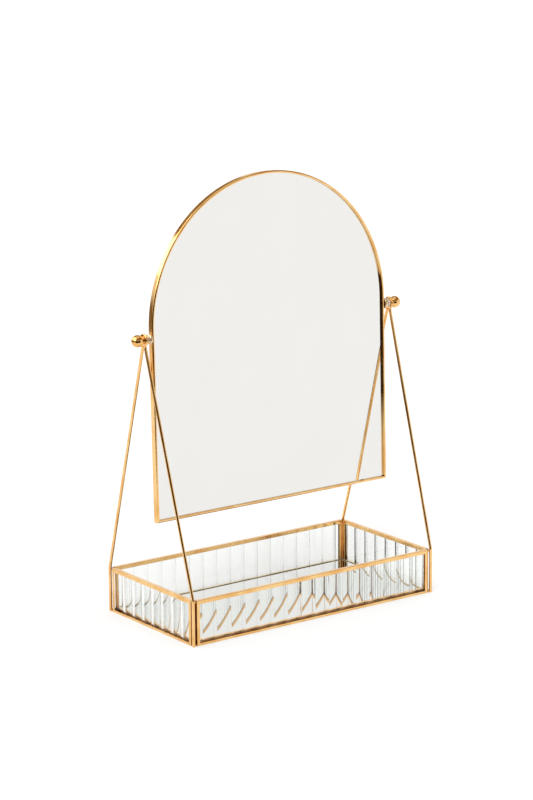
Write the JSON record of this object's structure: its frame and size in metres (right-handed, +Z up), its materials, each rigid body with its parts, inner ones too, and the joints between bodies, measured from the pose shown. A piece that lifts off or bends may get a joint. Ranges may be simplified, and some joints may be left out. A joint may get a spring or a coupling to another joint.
{
  "type": "tabletop vanity mirror with tray",
  "caption": "Arched tabletop mirror that tilts on side pivots between A-frame rod legs, above a shallow tray with fluted glass walls and a mirror floor.",
  "frame": {"origin": "centre of the tray's underside, on the surface that the stand rests on", "axes": "+Z up, +X along the tray's length and the pivot axis, -Y towards the person who looks into the mirror"},
  "size_m": [0.3378, 0.1542, 0.454],
  "materials": {
    "polished_brass": "polished, lightly lacquered brass sheet, rod and turned brass",
    "fluted_glass": "clear rolled glass with wide concave flutes on its outer face",
    "silvered_mirror": "float glass silvered on its back",
    "black_felt": "thin pressed felt",
    "backing_board": "black-faced fibreboard",
    "clear_nylon": "natural nylon washer"
  },
  "bodies": {
    "stand": {"front_top_rail": "polished_brass", "front_bottom_rail": "polished_brass", "front_left_post": "polished_brass", "front_right_post": "polished_brass", "front_glass_pane": "fluted_glass", "back_top_rail": "polished_brass", "back_bottom_rail": "polished_brass", "back_left_post": "polished_brass", "back_right_post": "polished_brass", "back_glass_pane": "fluted_glass", "left_top_rail": "polished_brass", "left_bottom_rail": "polished_brass", "left_front_post": "polished_brass", "left_back_post": "polished_brass", "left_glass_pane": "fluted_glass", "right_top_rail": "polished_brass", "right_bottom_rail": "polished_brass", "right_front_post": "polished_brass", "right_back_post": "polished_brass", "right_glass_pane": "fluted_glass", "floor_channel_front": "polished_brass", "floor_channel_back": "polished_brass", "floor_channel_left": "polished_brass", "floor_channel_right": "polished_brass", "floor_mirror": "silvered_mirror", "floor_pad": "black_felt", "leg_rod_front_left": "polished_brass", "lower_braze_front_left": "polished_brass", "upper_braze_front_left": "polished_brass", "leg_rod_front_right": "polished_brass", "lower_braze_front_right": "polished_brass", "upper_braze_front_right": "polished_brass", "leg_rod_back_left": "polished_brass", "lower_braze_back_left": "polished_brass", "upper_braze_back_left": "polished_brass", "leg_rod_back_right": "polished_brass", "lower_braze_back_right": "polished_brass", "upper_braze_back_right": "polished_brass", "leg_eyelet_left": "polished_brass", "leg_eyelet_right": "polished_brass"},
    "mirror": {"mirror_arch_frame": "polished_brass", "mirror_bottom_rail": "polished_brass", "mirror_glass": "silvered_mirror", "mirror_backing": "backing_board", "pivot_boss_left": "polished_brass", "friction_washer_left": "clear_nylon", "pivot_stud_left": "polished_brass", "pivot_boss_right": "polished_brass", "friction_washer_right": "clear_nylon", "pivot_stud_right": "polished_brass"},
    "left_knob": {"ball_knob_left": "polished_brass"},
    "right_knob": {"ball_knob_right": "polished_brass"}
  },
  "joints": [
    {"name": "mirror_tilt", "type": "hinge", "parent": "stand", "child": "mirror", "pos_m": [0, 0, 0.2995], "axis": [1, 0, 0], "continuous": true},
    {"name": "left_knob_turn", "type": "hinge", "parent": "mirror", "child": "left_knob", "pos_m": [-0.1626, 0, 0.2995], "axis": [-1, 0, 0], "range_deg": [0, 360]},
    {"name": "right_knob_turn", "type": "hinge", "parent": "mirror", "child": "right_knob", "pos_m": [0.1626, 0, 0.2995], "axis": [1, 0, 0], "range_deg": [0, 360]}
  ]
}
